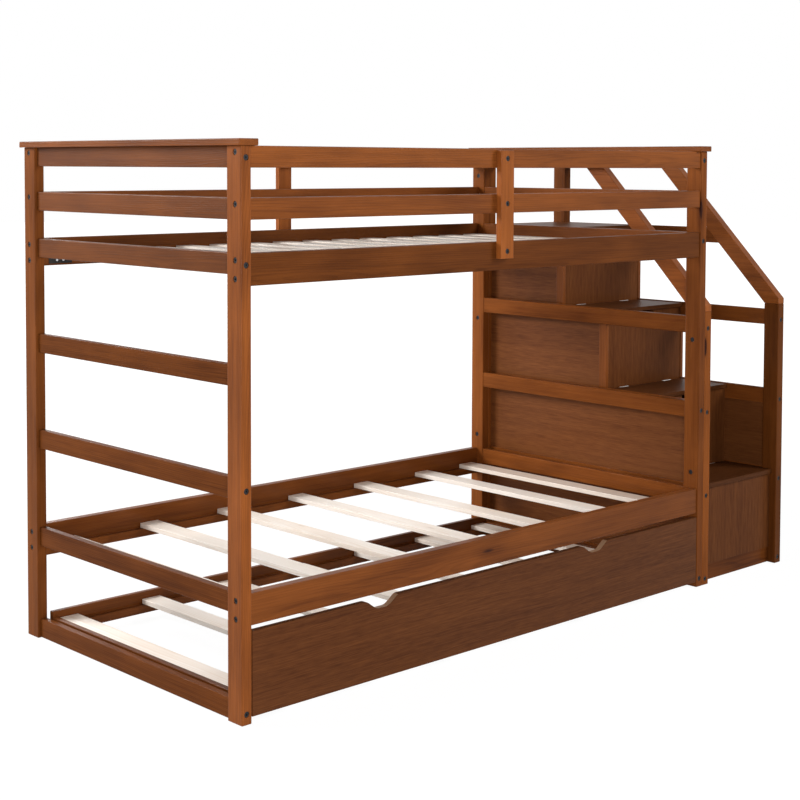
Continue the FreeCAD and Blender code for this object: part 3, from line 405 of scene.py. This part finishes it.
def veneer(name, node, along, split, seed, light, dark, shade=1.0, cuts=None, bare_wood=None, **constants):
    """Straight-grained veneer: long fine pores, broad pale bands and a faint ribbon."""
    paint = Paint(bpy.data.materials.new(name))
    (run, across, deep), (one, two, three) = board_coordinates(paint, node, along, split, seed)
    far = one * BOARD_SHIFT + seed
    level = across + deep

    def grain(line, chance, turns_along, turns_over, turns_between, detail):
        """Noise that is stretched along the grain and differs from board to board."""
        return paint.noise(run * turns_along + far, line * turns_over, chance * turns_between, detail)

    line = level + (grain(level, two, *VENEER_SWAY) - 0.5) * LINE_SWAY
    pores = grain(line, three, *PORES)
    marks = [(pores, PORES_TONE), (grain(line, two, *BANDS), BANDS_TONE),
             (grain(line, one, *WIDE_BANDS), WIDE_BANDS_TONE), (grain(line, one, *RIBBON), RIBBON_TONE)]
    tone = toned(paint, (three - 0.5) * SHEET_TONE + VENEER_TONE, marks)
    colour = coloured(paint, tone, light, dark, shade)
    if cuts:
        absolute = paint.parts(paint.node("ShaderNodeTexCoord", output="Object"))
        colour = paint.blend(sawn_edge(paint, absolute, cuts), colour, bare_wood)
    smooth, rougher = VENEER_ROUGHNESS
    return paint.finish(colour, pores * rougher + smooth, pores, VENEER_RELIEF, **constants)


def dress(node, material):
    """Gives a CAD node's object its finish."""
    part = NODES[node]
    part.data.materials.clear()
    part.data.materials.append(material)


def seed_of(node, step):
    """A number of a node's own, which sets its boards apart from those of others."""
    return sorted(NODES).index(node) * step


def gloss_of(gloss, coat_share, coat_roughness):
    """The lacquer and coat of a stained piece, scaled by gloss."""
    finish = bpy.context.scene.wood_finish
    return {"Specular IOR Level": finish.lacquer * gloss, "Coat Weight": finish.coat * gloss * coat_share,
            "Coat Roughness": coat_roughness}


def stained(node, along, split=None, shade=1.0, knots=1.0, gloss=1.0):
    """Stains and lacquers a pine node; gloss scales its lacquer and coat."""
    finish = bpy.context.scene.wood_finish
    dress(node, pine(f"stained_{node}", node, along, split, seed_of(node, STAINED_SEEDS),
                     finish.stain_light, finish.stain_dark, finish.stain_knot, finish.ring, shade, knots,
                     **gloss_of(gloss, 1.0, PINE_COAT_ROUGHNESS)))


def veneered(node, along, split=None, shade=1.0, cuts=None, gloss=1.0):
    """Veneers and lacquers a panel node, bare on the sawn faces of its cut-outs."""
    finish = bpy.context.scene.wood_finish
    dress(node, veneer(f"veneer_{node}", node, along, split, seed_of(node, VENEER_SEEDS),
                       finish.veneer_light, finish.veneer_dark, shade, cuts, finish.sawn,
                       **gloss_of(gloss, VENEER_COAT, VENEER_COAT_ROUGHNESS)))


def bare(node, along, split=None):
    """Leaves a pine node planed and unfinished, with plainer growth lines."""
    finish = bpy.context.scene.wood_finish
    dress(node, pine(f"bare_{node}", node, along, split, seed_of(node, BARE_SEEDS),
                     finish.slat_light, finish.slat_dark, finish.slat_knot, finish.ring,
                     knots=0.7, rings=0.5))


# ---------------------------------------------------------------- metal and plastic

METAL_DETAIL = 3.0
METAL_RELIEF = 0.00005
# Wear: turns per metre, where its noise starts and is full, and what it scales and adds to a colour.
WEAR_TURNS = 60.0
WORN = (0.45, 0.75)
WORN_SCALE, WORN_ADDED = 1.25, 0.01
TOOTH_ROUGHNESS = 0.12
WEAR_ROUGHNESS = 0.1


def hardware(name, colour, metallic, roughness, grain=900.0):
    """Plated, oxidised or moulded surface with a fine tooth of so many turns per metre."""
    paint = Paint(bpy.data.materials.new(name))
    place = paint.parts(paint.node("ShaderNodeTexCoord", output="Object"))
    tooth = paint.noise(*[part * grain for part in place], METAL_DETAIL)
    wear = paint.noise(*[part * WEAR_TURNS for part in place], METAL_DETAIL)
    pale = [min(1.0, value * WORN_SCALE + WORN_ADDED) for value in colour]
    tone = paint.blend(paint.step(wear, *WORN), colour, pale)
    rough = tooth * TOOTH_ROUGHNESS + (wear - 0.5) * WEAR_ROUGHNESS + roughness
    return paint.finish(tone, rough, tooth, METAL_RELIEF, Metallic=metallic)


# Cleat plates: length, thickness and height; their middles from the cleats' ends and tops; the
# width of the cleat they are screwed to; their seat's clearance; screws from a plate's middle.
PLATE_LONG, PLATE_THICK, PLATE_TALL = 0.080, 0.0016, 0.021
PLATE_EASE = 0.0004
PLATE_FROM_END = 0.058
PLATE_DROP = 0.0125
CLEAT_WIDE = 0.020
SEAT_CLEARANCE = 0.0001
SCREW_STEPS = (-0.012, 0.010)
# Screw heads in shares of their radius: rise, top face, and the cross's length, width and height.
HEAD_RISE = 0.22
HEAD_TOP = 0.78
CROSS = (1.05, 0.22, 0.12)
HEAD_SIDES = 20


def plate(name, boxes, body, material):
    """Flat metal plates with eased edges, each given by its middle and its sizes."""
    mesh = bmesh.new()
    for middle, sizes in boxes:
        place = Matrix.Translation(middle) @ Matrix.Diagonal((*sizes, 1.0))
        bmesh.ops.create_cube(mesh, size=1.0, matrix=place)
    bmesh.ops.bevel(mesh, geom=list(mesh.edges), offset=PLATE_EASE, segments=2, affect="EDGES", material=-1)
    piece_of(name, mesh, body, material)


def piece_of(name, mesh, body, material):
    """Turns a finished bmesh into a piece that moves with a body."""
    data = bpy.data.meshes.new(name)
    mesh.to_mesh(data)
    mesh.free()
    piece = bpy.data.objects.new(name, data)
    bpy.context.scene.collection.objects.link(piece)
    data.materials.append(material)
    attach(piece, body)


def screw_heads(name, places, heading, radius, body, material):
    """Screw heads with a cross at places, facing along heading."""
    mesh = bmesh.new()
    turn = Vector((0.0, 0.0, 1.0)).rotation_difference(Vector(heading)).to_matrix().to_4x4()
    for place in places:
        seat = Matrix.Translation(place) @ turn
        disc = bmesh.ops.create_circle(mesh, cap_ends=True, radius=radius, segments=HEAD_SIDES, matrix=seat)
        raised = bmesh.ops.extrude_face_region(mesh, geom=[disc["verts"][0].link_faces[0]])
        tops = [item for item in raised["geom"] if isinstance(item, bmesh.types.BMVert)]
        rise = Vector((0.0, 0.0, radius * HEAD_RISE))
        bmesh.ops.translate(mesh, verts=tops, vec=turn.to_3x3() @ rise)
        middle = seat @ rise
        for vertex in tops:
            vertex.co = middle + (vertex.co - middle) * HEAD_TOP
        for turned in (0.0, math.pi / 2):
            bar_place = (Matrix.Translation(middle) @ turn @ Matrix.Rotation(turned, 4, "Z")
                         @ Matrix.Diagonal((*[radius * part for part in CROSS], 1.0)))
            bmesh.ops.create_cube(mesh, size=1.0, matrix=bar_place)
    bmesh.ops.recalc_face_normals(mesh, faces=mesh.faces)
    piece_of(name, mesh, body, material)


# ---------------------------------------------------------------- operators

STEP_NUMBERS = (1, 2, 3)
# The upper end rails are this much darker than the other rails of their end.
UPPER_END_SHADE = 0.88


class BED_OT_posts(bpy.types.Operator):
    """Stain the bed posts, the end caps and the guard stays"""
    bl_idname = "bed.posts"
    bl_label = "Posts and caps"

    def execute(self, context):
        stained("front_left_post", "Z", shade=1.5)
        stained("front_right_post", "Z", shade=1.15, gloss=0.5)
        stained("back_left_post", "Z", shade=0.88, gloss=0.6)
        stained("back_right_post", "Z", shade=1.1, gloss=0.5)
        for end in ("left", "right"):
            stained(f"{end}_end_cap", "Y", shade=1.12)
        stained("guard_stays", "Z", STAY_PAIR, shade=1.5)
        return {"FINISHED"}


class BED_OT_rails(bpy.types.Operator):
    """Stain the end rails, side rails, guard rails and cleats"""
    bl_idname = "bed.rails"
    bl_label = "Rails"

    def execute(self, context):
        for end, shade in (("left", 0.78), ("right", 1.05)):
            stained(f"{end}_guard_end_rails", "Y", GUARD_PAIR, shade)
            stained(f"{end}_upper_end_rail", "Y", shade=shade * UPPER_END_SHADE)
            stained(f"{end}_ladder_rails", "Y", LADDER_PAIR, shade, gloss=0.35)
            stained(f"{end}_lower_end_rails", "Y", LOWER_PAIR, shade, gloss=0.4)
        for side in ("front", "back"):
            stained(f"{side}_upper_side_rail", "X", shade=0.68, gloss=0.6)
            stained(f"{side}_lower_side_rail", "X", shade=0.98)
            stained(f"{side}_guard_rails", "X", GUARD_PAIR, shade=1.15)
        stained("slat_cleats", "X", BUNK_LEVELS, shade=0.8, knots=0.3)
        return {"FINISHED"}


class BED_OT_slats(bpy.types.Operator):
    """Leave the dowels and the slats of both bunks and the trundle bare"""
    bl_idname = "bed.slats"
    bl_label = "Slats"

    def execute(self, context):
        bare("upper_slats", "Y", UPPER_SLATS)
        bare("lower_slats", "Y", LOWER_SLATS)
        bare("trundle_slats", "Y", TRUNDLE_SLATS)
        bare("frame_dowels", "Y")
        return {"FINISHED"}


class BED_OT_trundle(bpy.types.Operator):
    """Finish the trundle's front, frame boards, wheels and wheel plates"""
    bl_idname = "bed.trundle"
    bl_label = "Trundle"

    def execute(self, context):
        finish = context.scene.hardware_finish
        veneered("trundle_front_panel", "X", shade=1.08, cuts=FINGER_CUTS)
        stained("trundle_back_rail", "X", shade=0.8)
        stained("trundle_end_rails", "Y", TRUNDLE_ENDS, shade=0.8)
        stained("trundle_slat_cleats", "X", TRUNDLE_SIDES, shade=0.8, knots=0.3)
        dress("trundle_wheel_brackets", hardware("zinc_plate", finish.bracket, metallic=1.0, roughness=0.38))
        wheel = hardware("moulded_wheel", finish.wheel, metallic=0.0, roughness=0.45, grain=1500.0)
        for side in ("front", "back"):
            dress(f"trundle_{side}_wheels", wheel)
        return {"FINISHED"}


class BED_OT_stair_frame(bpy.types.Operator):
    """Stain the stairs' posts, rails, handrails and stiles"""
    bl_idname = "bed.stair_frame"
    bl_label = "Stair frame"

    def execute(self, context):
        # front_outer's 0.6 paints shade: the darker post stands for the shadow inside the stairwell, not for
        # a darker board.
        post_tones_and_painted_shade = {"front_inner": 1.3, "front_outer": 0.6, "back_inner": 1.0, "back_outer": 0.8}
        for place, shade in post_tones_and_painted_shade.items():
            stained(f"stair_{place}_post", "Z", shade=shade, gloss=0.4)
        for side, shade in (("inner", 1.7), ("outer", 1.3)):
            stained(f"stair_{side}_rails", "Y", STAIR_LEVELS, gloss=0.5)
            stained(f"{side}_handrail", "Y", shade=shade)
        stained("stair_top_rails", "Y", STAIR_SIDES)
        stained("stair_stiles", "Z", STILE_LEVELS)
        stained("stair_cross_rails", "X", STAIR_LEVELS, shade=0.85, gloss=0.5)
        return {"FINISHED"}


class BED_OT_stair_boxes(bpy.types.Operator):
    """Veneer the stairs' panels, risers, box floors and treads"""
    bl_idname = "bed.stair_boxes"
    bl_label = "Stair boxes"

    def execute(self, context):
        veneered("stair_inner_panels", "Y", STAIR_LEVELS, shade=1.25)
        veneered("stair_outer_panels", "Y", STAIR_LEVELS, gloss=0.3)
        veneered("stair_risers", "Z", RISER_ROW, shade=1.15, gloss=0.5)
        veneered("stair_box_floors", "X", shade=0.9)
        veneered("stair_back_panel", "Z", shade=0.9)
        # The lids' shade of 0.75 partly paints the shade that falls on the treads inside the stairs' frame.
        for step in STEP_NUMBERS:
            veneered(f"step_{step}_lid", "X", shade=0.75, gloss=0.5)
        veneered("stair_platform", "X", shade=0.9, gloss=0.5)
        return {"FINISHED"}


class BED_OT_hinges(bpy.types.Operator):
    """Plate the lids' hinges"""
    bl_idname = "bed.hinges"
    bl_label = "Hinges"

    def execute(self, context):
        finish = context.scene.hardware_finish
        nickel = hardware("nickel_plate", finish.hinge, metallic=1.0, roughness=0.26)
        dress("step_hinge_fixed_leaves", nickel)
        dress("step_hinge_pins", nickel)
        for step in STEP_NUMBERS:
            dress(f"step_{step}_hinge_leaves", nickel)
        return {"FINISHED"}


class BED_OT_brackets(bpy.types.Operator):
    """Screw a black plate on each end of the upper cleats; the plates' blackness partly paints the shade at
    the corners under the end rails
    """
    bl_idname = "bed.brackets"
    bl_label = "Cleat plates"

    def execute(self, context):
        finish = context.scene.hardware_finish
        low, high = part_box("slat_cleats")
        level = high[2] - PLATE_DROP
        middles = [low[0] + PLATE_FROM_END, high[0] - PLATE_FROM_END]
        # The plates' near-black colour partly paints the shade at the corners under the upper end rails.
        black = hardware("black_plate", finish.plate, metallic=0.5, roughness=0.4)
        zinc = hardware("zinc_screw", finish.bracket, metallic=1.0, roughness=0.3)
        for side, outer, heading in (("front", low[1], 1.0), ("back", high[1], -1.0)):
            face = outer + heading * (CLEAT_WIDE + SEAT_CLEARANCE)
            middle = face + heading * PLATE_THICK / 2
            boxes = [((x, middle, level), (PLATE_LONG, PLATE_THICK, PLATE_TALL)) for x in middles]
            plate(f"{side}_cleat_plates", boxes, "bed_and_stairs", black)
            proud = face + heading * PLATE_THICK
            spots = [(x + step, proud, level) for x in middles for step in SCREW_STEPS]
            screw_heads(f"{side}_cleat_plate_screws", spots, (0.0, heading, 0.0), finish.screw_radius,
                        "bed_and_stairs", zinc)
        return {"FINISHED"}


class BED_OT_bolts(bpy.types.Operator):
    """Blacken the bolts"""
    bl_idname = "bed.bolts"
    bl_label = "Bolts"

    def execute(self, context):
        finish = context.scene.hardware_finish
        dress("frame_bolts", hardware("black_oxide", finish.bolt, metallic=0.8, roughness=0.3))
        return {"FINISHED"}


# ---------------------------------------------------------------- studio

CAMERA_PLACE = (-3.5905, -3.6450, 1.4350)
CAMERA_YAW = 0.7541
CAMERA_PITCH = 0.0486
CAMERA_ROLL = 0.0033
CAMERA_SHIFT = -0.2
SENSOR_WIDTH = 36.0
CAMERA_REACH = 100.0

LAMP_PLACES = {
    "front_left": (-3.2, -3.6, 1.2),
    "front_right": (2.8, -4.0, 3.4),
    "back_left": (-3.6, 3.4, 3.2),
    "back": (0.0, 4.4, 1.2),
}
LAMP_SIZE = 2.0
LAMP_TARGET = (0.0, 0.0, 0.8)

WHITE = (1.0, 1.0, 1.0)
FLOOR_REACH = 30.0
FLOOR_LEVEL = -0.0005
# Near the bed a share of the floor stays lit, which holds the shadow; it fades out between radii.
FLOOR_GLOW = 1.18
LIT_SHARE = 0.2
FADE_FROM, FADE_TO = 2.0, 6.0


def lamp(name, watts, place):
    """A square area lamp that faces the bed's middle and is itself unseen."""
    data = bpy.data.lights.new(name, "AREA")
    data.energy = watts
    data.size = LAMP_SIZE
    light = bpy.data.objects.new(name, data)
    light.visible_camera = False
    light.location = place
    light.rotation_euler = (Vector(LAMP_TARGET) - Vector(place)).to_track_quat("-Z", "Y").to_euler()
    bpy.context.scene.collection.objects.link(light)


class BED_OT_studio(bpy.types.Operator):
    """Set up the camera, the lights, the pale floor and the world"""
    bl_idname = "bed.studio"
    bl_label = "Studio"

    def execute(self, context):
        studio = context.scene.studio
        camera = bpy.data.objects.new("camera", bpy.data.cameras.new("camera"))
        camera.data.sensor_width = SENSOR_WIDTH
        camera.data.lens = studio.lens
        camera.data.shift_y = CAMERA_SHIFT
        camera.data.clip_end = CAMERA_REACH
        turn = (Matrix.Rotation(-CAMERA_YAW, 4, "Z") @ Matrix.Rotation(math.pi / 2 - CAMERA_PITCH, 4, "X")
                @ Matrix.Rotation(CAMERA_ROLL, 4, "Z"))
        camera.matrix_world = Matrix.Translation(CAMERA_PLACE) @ turn
        context.scene.collection.objects.link(camera)
        context.scene.camera = camera
        context.scene.view_settings.view_transform = "Standard"
        for name, place in LAMP_PLACES.items():
            lamp(f"{name}_light", getattr(studio, name), place)
        self.make_floor(studio)
        self.make_world(context, studio)
        return {"FINISHED"}

    def make_floor(self, studio):
        """A wide floor that the camera sees as white but for the bed's shadow."""
        mesh = bmesh.new()
        bmesh.ops.create_grid(mesh, x_segments=1, y_segments=1, size=FLOOR_REACH)
        data = bpy.data.meshes.new("studio_floor")
        mesh.to_mesh(data)
        mesh.free()
        floor = bpy.data.objects.new("studio_floor", data)
        floor.location = (0.0, 0.0, FLOOR_LEVEL)
        bpy.context.scene.collection.objects.link(floor)
        paint = Paint(bpy.data.materials.new("studio_floor"))
        x, y, _ = paint.parts(paint.node("ShaderNodeTexCoord", output="Object"))
        away = paint.step(paint.sum("SQRT", x * x + y * y), FADE_FROM, FADE_TO)
        glowing = paint.backdrop_rays() * (away * LIT_SHARE + (1.0 - LIT_SHARE))
        lit = paint.node("ShaderNodeBsdfDiffuse", None, {"Color": paint.opaque(studio.floor)})
        glow = paint.node("ShaderNodeEmission", None,
                          {"Color": paint.opaque(WHITE), "Strength": FLOOR_GLOW})
        mixed = paint.node("ShaderNodeMixShader", None, {0: glowing, 1: lit, 2: glow})
        paint.node("ShaderNodeOutputMaterial", None, {"Surface": mixed})
        data.materials.append(paint.owner)

    def make_world(self, context, studio):
        """Light from all round, seen by the camera and in reflections as white."""
        paint = Paint(bpy.data.worlds.new("studio_world"))
        strength = paint.sum("MAXIMUM", paint.backdrop_rays(), studio.ambient)
        background = paint.node("ShaderNodeBackground", None,
                                {"Color": paint.opaque(WHITE), "Strength": strength})
        paint.node("ShaderNodeOutputWorld", None, {"Surface": background})
        context.scene.world = paint.owner


class BED_PT_panel(bpy.types.Panel):
    """Lists the bed's operators and finishes"""
    bl_idname = "BED_PT_panel"
    bl_label = "Bunk Bed"
    bl_space_type = "VIEW_3D"
    bl_region_type = "UI"
    bl_category = "Bunk Bed"

    def draw(self, context):
        column = self.layout.column(align=True)
        for step in STEPS:
            column.operator(step.bl_idname)
        for group in GROUPS:
            settings = getattr(context.scene, group)
            box = self.layout.box()
            for name in GROUPS[group].__annotations__:
                box.prop(settings, name)


GROUPS = {"wood_finish": WoodFinish, "hardware_finish": HardwareFinish, "studio": Studio}
STEPS = (BED_OT_posts, BED_OT_rails, BED_OT_slats, BED_OT_trundle, BED_OT_stair_frame, BED_OT_stair_boxes,
         BED_OT_hinges, BED_OT_brackets, BED_OT_bolts, BED_OT_studio)


def register():
    """Registers the property groups, operators and panel."""
    for name, group in GROUPS.items():
        bpy.utils.register_class(group)
        setattr(bpy.types.Scene, name, PointerProperty(type=group))
    for step in STEPS:
        bpy.utils.register_class(step)
    bpy.utils.register_class(BED_PT_panel)


def unregister():
    """Removes what register added."""
    bpy.utils.unregister_class(BED_PT_panel)
    for step in reversed(STEPS):
        bpy.utils.unregister_class(step)
    for name, group in reversed(GROUPS.items()):
        delattr(bpy.types.Scene, name)
        bpy.utils.unregister_class(group)


def main():
    """Dresses the bed."""
    register()
    for step in STEPS:
        group, name = step.bl_idname.split(".")
        getattr(getattr(bpy.ops, group), name)()


if __name__ == "__main__":
    main()
